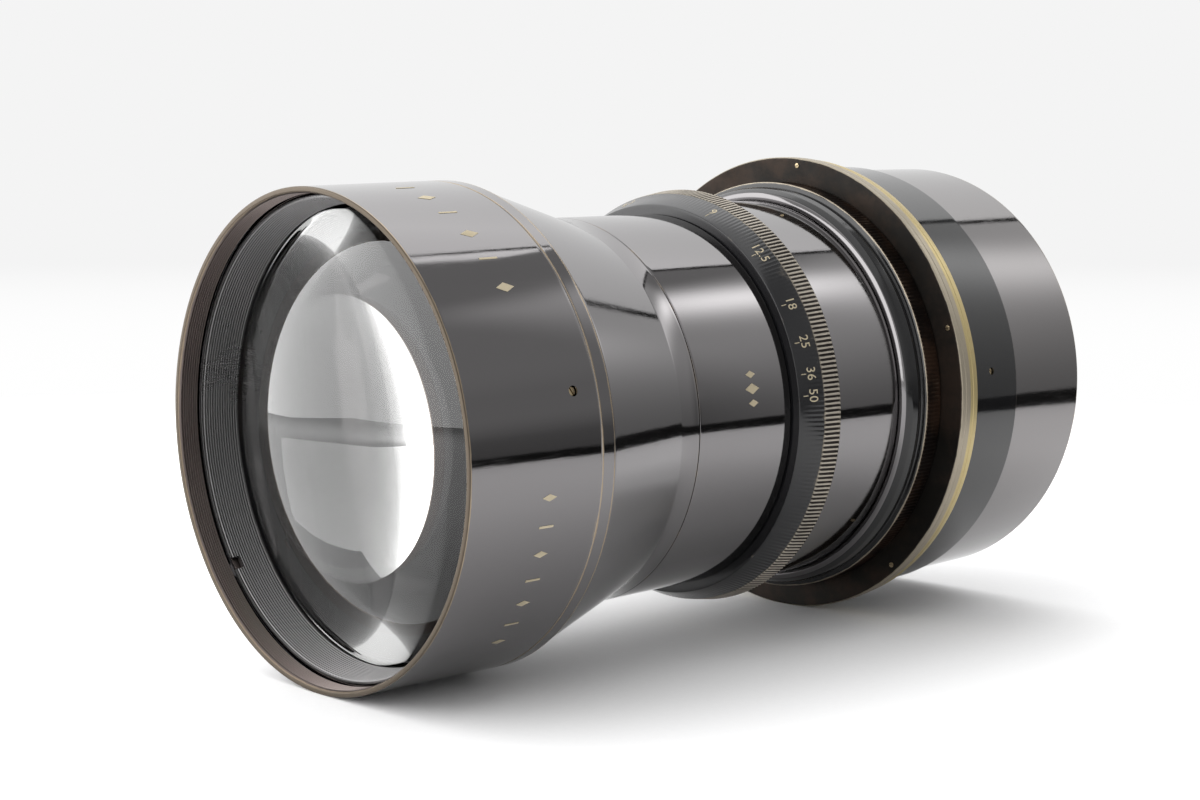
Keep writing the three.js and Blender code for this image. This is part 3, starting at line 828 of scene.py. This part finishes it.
def make_rear():
    """The glossy ring, the rear tube, and the rings that are seen inside it from behind."""
    ring = turned("rear_ring_glossy", [
        corner(35.0, 0.1, 0.05), corner(36.2, 0.1, 0.1), corner(36.2, 12.35, 0.1, 0.2),
        corner(36.05, 12.6, 0.12, 0.9), corner(35.0, 12.6, 0.05)])
    hole = settle(rod("hole_cutter", 0.6, 3),
                  radial_place(MOUNT_SCREW_Y, MOUNT_SCREW_CLOCK, 34.5))
    cut_with(ring, [hole])
    dress(ring, "mount", "barrel", "black_lacquer", "rear_mount_ring")
    screw = slotted_screw("rear_grub_screw", 0.52, 0.9, 0.16, 0.2,
                          radial_place(MOUNT_SCREW_Y, MOUNT_SCREW_CLOCK, 35.05), 0.9)
    dress(screw, "screw", "barrel", "screw_brass", "mount_ring_set_screw")
    tube = turned("rear_tube_shell", [
        corner(28.6, 0.1, 0.05), corner(34.9, 0.1, 0.05), corner(34.9, 12.8, 0.05),
        corner(35.6, 12.8, 0.08), corner(35.6, 30.5, 0.14, 0.6), corner(33.9, 30.5, 0.12, 0.5),
        corner(33.9, 2.3, 0.1), corner(28.6, 2.3, 0.05)])
    dress(tube, "tube", "barrel", "black_lacquer", "rear_tube")
    second_finish(tube, "inner", lambda radius, y: y > 2.0 and radius < 33.95)
    nut = turned("rear_clamp_nut", [
        corner(28.5, 2.6), corner(31.5, 2.6), corner(31.5, 5.6, 0.2, 0.3),
        corner(28.5, 5.6, 0.15, 0.2)])
    cut_with(nut, spanner_slots(2.0, 2.4, 8.0, 30))
    dress(nut, "grooved", "barrel", "matt_black", "rear_lock_nut")
    cell = turned("rear_cell_ring", [
        corner(22.6, -10), corner(27.6, -10), corner(27.6, 6.2), corner(28.3, 6.2),
        corner(28.3, 8.6, 0.15, 0.3), corner(24.3, 8.6, 0.15, 0.2), corner(24.3, -8.6),
        corner(22.6, -8.6)])
    dress(cell, "grooved", "barrel", "matt_black", "rear_cell")
    keeper = turned("rear_keeper_ring", [
        corner(22.6, 3.5), corner(24.1, 3.5), corner(24.1, 5.6, 0.1, 0.2),
        corner(22.6, 5.6, 0.1, 0.2)])
    cut_with(keeper, spanner_slots(1.6, 1.8, 6.0, 23.4))
    dress(keeper, "grooved", "barrel", "matt_black", "rear_retaining_ring")


make_rear()
make_glass("rear_cemented_pair", 24.0, -8.3, -90, 3.0, -300,
           "rear_front_element", "rear_back_element")

# The iris inside keeps its CAD shapes.
for node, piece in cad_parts.items():
    if node.startswith("iris_blade"):
        finish = "steel"
    elif node in ("iris_base_plate", "iris_cam_ring", "iris_retaining_ring"):
        finish = "inner"
    elif node == "iris_drive_screw":
        finish = "screw"
    else:
        continue
    piece.data.materials.clear()
    piece.data.materials.append(materials[finish])

# ------------------------------------------------------------------ studio

BACKDROP = 0.905                                  # grey of the plain world behind it all
FLOOR_TILT = math.radians(1.735)                  # the lens rests on its rim and its flange
FLOOR_CONTACT = Vector((0, -100, -35.02)) * MM


def panel(name, corners, strength):
    """A flat glowing panel; strength(shader, x, y, z) gives its brightness."""
    piece = new_piece(name, [Vector(c) * MM for c in corners], [(0, 1, 2, 3)])
    s = Shader(name)
    s.tree.nodes.remove(s.bsdf)
    glow = s.tree.nodes.new("ShaderNodeEmission")
    split = s.tree.nodes.new("ShaderNodeSeparateXYZ")
    s.link(s.object_space(), split.inputs[0])
    place = [s.math("MULTIPLY", value, MM_IN_METRE) for value in split.outputs]
    s.feed(glow.inputs["Strength"], strength(s, *place))
    s.link(glow.outputs[0], s.output.inputs["Surface"])
    piece.data.materials.append(s.material)
    piece.visible_camera = False
    piece.visible_shadow = False


def hump(s, value, centre, width):
    """A smooth bump of height 1 round a centre."""
    offset = s.math("DIVIDE", s.math("SUBTRACT", value, centre), width)
    return s.math("EXPONENT", s.math("MULTIPLY", s.math("MULTIPLY", offset, offset), -1.0))


SIDE = 285.0          # the side wall of the light tent stands on x + y = SIDE
CORNER_S = -188.0     # where it meets the back wall, measured along the side wall
TOP = 560.0
LOW = -30.0           # foot of the walls
FLOOR_GAP = -26.0     # foot of the side wall, above the dark seam along the floor
LEFT = -420.0
FRONT = -600.0


def side_point(s_along, z):
    """A point on the side wall from its distance along the wall and its height."""
    return ((SIDE + s_along * math.sqrt(2)) / 2, (SIDE - s_along * math.sqrt(2)) / 2, z)


def side_strength(s, x, y, z):
    """A wall that is dim at its foot and far end, with two soft lamps and a bright strip."""
    along = s.math("DIVIDE", s.math("SUBTRACT", x, y), math.sqrt(2))
    low = s.span(z, -40.0, 120.0, 0.36, 1.02)
    far = s.span(along, 30.0, 75.0, 1.0, 0.56)
    high = s.span(z, 230.0, 300.0, 1.0, 0.52)
    base = s.math("MULTIPLY", s.math("MULTIPLY", low, far), high)
    low_end = s.span(z, -40.0, 40.0, 0.0, 0.5)
    base = s.math("MAXIMUM", base, low_end)
    lamp = s.math("MULTIPLY", hump(s, along, -50.0, 44.0), hump(s, z, 207.0, 50.0))
    side = s.math("MULTIPLY", hump(s, along, -72.0, 40.0), hump(s, z, 120.0, 45.0))
    strip = s.math("MULTIPLY", s.span(along, -150.0, -120.0, 1.0, 0.0),
                   s.span(z, 425.0, 440.0))
    total = s.math("ADD", base, s.math("MULTIPLY", lamp, 3.1))
    total = s.math("ADD", total, s.math("MULTIPLY", side, 1.2))
    return s.math("ADD", total, s.math("MULTIPLY", strip, 2.2))


panel("tent_side", [side_point(CORNER_S + 7, FLOOR_GAP), side_point(420, FLOOR_GAP),
                    side_point(420, TOP), side_point(CORNER_S + 7, TOP)], side_strength)


def back_point(t, z):
    """A point on the back wall, t mm to the left of its corner with the side wall."""
    corner_x, corner_y, _ = side_point(CORNER_S, 0)
    shift = t / math.sqrt(2)
    return (corner_x - shift, corner_y - shift, z)


def back_strength(s, x, y, z):
    """A wall that brightens evenly upwards."""
    steady = s.tree.nodes.new("ShaderNodeMapRange")
    s.link(z, steady.inputs["Value"])
    for name, value in (("From Min", 0.0), ("From Max", 357.0), ("To Min", 0.64), ("To Max", 2.3)):
        steady.inputs[name].default_value = value
    return steady.outputs["Result"]


def window_strength(s, x, y, z):
    """The bright walls in front and at the left, which the glass shows."""
    return s.span(z, LOW, 400.0, 3.4, 3.9)


panel("tent_back", [back_point(6, LOW), back_point(700, LOW), back_point(700, TOP),
                    back_point(6, TOP)], back_strength)
panel("tent_roof", [(-600, -420, TOP), (460, -420, TOP), (460, 700, TOP), (-600, 700, TOP)],
      lambda s, x, y, z: s.span(y, -400.0, 500.0, 1.3, 1.8))
panel("tent_left", [(LEFT, FRONT, LOW), (LEFT, 500, LOW), (LEFT, 500, TOP),
                    (LEFT, FRONT, TOP)], window_strength)
panel("tent_front", [(LEFT, FRONT, LOW), (LEFT, FRONT, TOP), (260, -789, TOP),
                     (260, -789, LOW)], window_strength)
panel("seam_floor", [side_point(-190, -46), side_point(430, -46), side_point(430, FLOOR_GAP),
                     side_point(-190, FLOOR_GAP)], lambda s, x, y, z: 0.02)
panel("seam_corner", [side_point(CORNER_S + 8, LOW), back_point(7, LOW), back_point(7, TOP),
                      side_point(CORNER_S + 8, TOP)], lambda s, x, y, z: 0.03)


def make_floor():
    """A pale table. Away from the lens it fades into the same plain white as the backdrop."""
    size = 12.0
    floor = new_piece("floor", [(-size, -size, 0), (size, -size, 0), (size, size, 0),
                                (-size, size, 0)], [(0, 1, 2, 3)])
    floor.rotation_euler = (-FLOOR_TILT, 0, 0)
    floor.location = FLOOR_CONTACT
    s = Shader("pale_table")
    space = s.object_space()
    split = s.tree.nodes.new("ShaderNodeSeparateXYZ")
    s.link(space, split.inputs[0])
    x, y, _ = split.outputs
    grain = s.noise(space, 900.0, 3.0, 0.6)
    s.set(color=s.blend(grain, (0.86, 0.86, 0.865), (0.9, 0.9, 0.9)),
          roughness=0.8, specular=0.1, normal=s.bump(grain, 0.02, 0.3))
    # Painted light: the table's own surface glows faintly, a painted pool of light from 20 to 75
    # mm away from the line under the lens, brighter towards the rear.
    aside = s.math("SUBTRACT", x, 0.01)
    past_middle = s.math("ABSOLUTE", s.math("SUBTRACT", y, 0.065))
    along = s.math("MAXIMUM", s.math("SUBTRACT", past_middle, 0.06), 0.0)
    near = s.hypotenuse(aside, along)
    painted_light_pool = s.math("MULTIPLY", s.span(near, 0.02, 0.075), s.span(y, -0.02, 0.2, 0.22, 0.36))
    s.feed(s.bsdf.inputs["Emission Color"], (1.0, 1.0, 1.0, 1.0))
    s.feed(s.bsdf.inputs["Emission Strength"], painted_light_pool)
    # From 0.28 to 0.5 m away the table turns into plain glowing white.
    away = s.hypotenuse(x, y)
    glow = s.tree.nodes.new("ShaderNodeEmission")
    s.feed(glow.inputs["Strength"], s.span(away, 0.4, 3.0, 1.0, BACKDROP))
    mix = s.tree.nodes.new("ShaderNodeMixShader")
    s.feed(mix.inputs[0], s.span(away, 0.28, 0.5))
    s.link(s.bsdf.outputs[0], mix.inputs[1])
    s.link(glow.outputs[0], mix.inputs[2])
    s.link(mix.outputs[0], s.output.inputs["Surface"])
    floor.data.materials.append(s.material)


make_floor()

world = bpy.data.worlds.new("studio")
bpy.context.scene.world = world
world.use_nodes = True
backdrop = world.node_tree.nodes["Background"]
backdrop.inputs["Color"].default_value = (BACKDROP, BACKDROP, BACKDROP, 1)
backdrop.inputs["Strength"].default_value = 1.0

# ------------------------------------------------------------------ camera

camera_data = bpy.data.cameras.new("camera")
camera = bpy.data.objects.new("camera", camera_data)
bpy.context.collection.objects.link(camera)
camera_data.sensor_width = 36.0
camera_data.lens = 59.01
camera_data.clip_start, camera_data.clip_end = 0.01, 20.0
gaze = Vector((-0.73244, 0.67166, -0.1114)).normalized()
up = Vector((-0.06694, 0.09179, 0.99353))
right = gaze.cross(up).normalized()
up = right.cross(gaze)
pose = Matrix((right, up, -gaze)).transposed().to_4x4()
pose.translation = Vector((223.48, -250.7, 34.99)) * MM
camera.matrix_world = pose
bpy.context.scene.camera = camera
bpy.context.scene.view_settings.view_transform = "Standard"
